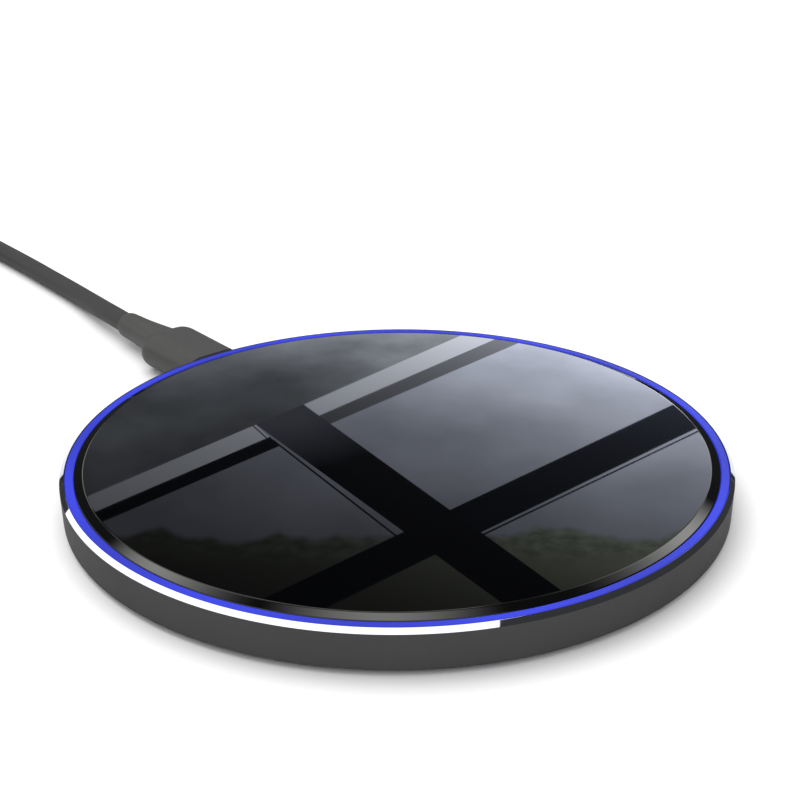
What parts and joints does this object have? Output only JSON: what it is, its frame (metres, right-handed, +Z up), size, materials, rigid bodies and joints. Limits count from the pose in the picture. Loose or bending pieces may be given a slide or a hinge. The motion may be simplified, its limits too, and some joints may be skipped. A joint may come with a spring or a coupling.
{
  "type": "wireless charging pad",
  "caption": "Round glass-topped wireless charging pad with a glowing blue edge ring, and a plug-in USB lead stored as a tied coil.",
  "frame": {"origin": "centre of the pad's footprint on the surface that it rests on", "axes": "+Z up out of the glass; +Y out of the USB-C socket, along the lead"},
  "size_m": [0.1063, 0.2587, 0.0084],
  "materials": {
    "black_glass": "mirror-smooth black tempered glass, opaque from its printed back",
    "anodised_aluminium": "dark grey matt side wall, polished bevel",
    "light_guide": "translucent blue, lit from below",
    "black_plastic": "fine spark texture",
    "foot_rubber": "soft matt",
    "screw_steel": "blackened steel",
    "adhesive": "double-sided film",
    "ferrite": "sintered dark grey",
    "copper": "enamelled litz wire",
    "circuit_board": "green solder mask on glass-epoxy",
    "chip_resin": "moulded black resin",
    "plated_steel": "nickel-plated",
    "ceramic": "fired ceramic",
    "led_lens": "clear lens",
    "plug_plastic": "soft-touch dark grey",
    "cord_jacket": "matt dark grey jacket",
    "tie_strap": "hook-and-loop strap",
    "gold": "gold flash"
  },
  "bodies": {
    "pad": {"top_glass": "black_glass", "housing_rim": "anodised_aluminium", "light_guide_ring": "light_guide", "base_cover": "black_plastic", "inner_frame": "black_plastic", "foot_1": "foot_rubber", "foot_2": "foot_rubber", "foot_3": "foot_rubber", "foot_4": "foot_rubber", "case_screw_1": "screw_steel", "case_screw_2": "screw_steel", "case_screw_3": "screw_steel", "case_screw_4": "screw_steel", "glass_adhesive": "adhesive", "coil_adhesive": "adhesive", "ferrite_shield": "ferrite", "power_inductor": "ferrite", "charging_coil": "copper", "circuit_board": "circuit_board", "controller_chip": "chip_resin", "driver_chip_1": "chip_resin", "driver_chip_2": "chip_resin", "temperature_sensor": "chip_resin", "socket_tongue": "chip_resin", "crystal": "plated_steel", "usb_c_socket_shell": "plated_steel", "resonant_capacitor_1": "ceramic", "resonant_capacitor_2": "ceramic", "resonant_capacitor_3": "ceramic", "resonant_capacitor_4": "ceramic", "led_1": "led_lens", "led_2": "led_lens", "led_3": "led_lens", "led_4": "led_lens", "led_5": "led_lens", "led_6": "led_lens", "led_7": "led_lens", "led_8": "led_lens"},
    "cable": {"plug_shell": "plated_steel", "plug_core": "chip_resin", "plug_body": "plug_plastic", "plug_strain_relief": "plug_plastic", "power_cord": "cord_jacket", "power_cord_coil": "cord_jacket", "power_cord_tail": "cord_jacket", "coil_tie": "tie_strap", "usb_a_body": "plug_plastic", "usb_a_strain_relief": "plug_plastic", "usb_a_shell": "plated_steel", "usb_a_tongue": "chip_resin", "usb_a_contact_1": "gold", "usb_a_contact_2": "gold", "usb_a_contact_3": "gold", "usb_a_contact_4": "gold"}
  },
  "joints": [
    {"name": "plug_slide", "type": "slide", "parent": "pad", "child": "cable", "axis": [0, 1, 0], "range_m": [0, 0.012]}
  ]
}
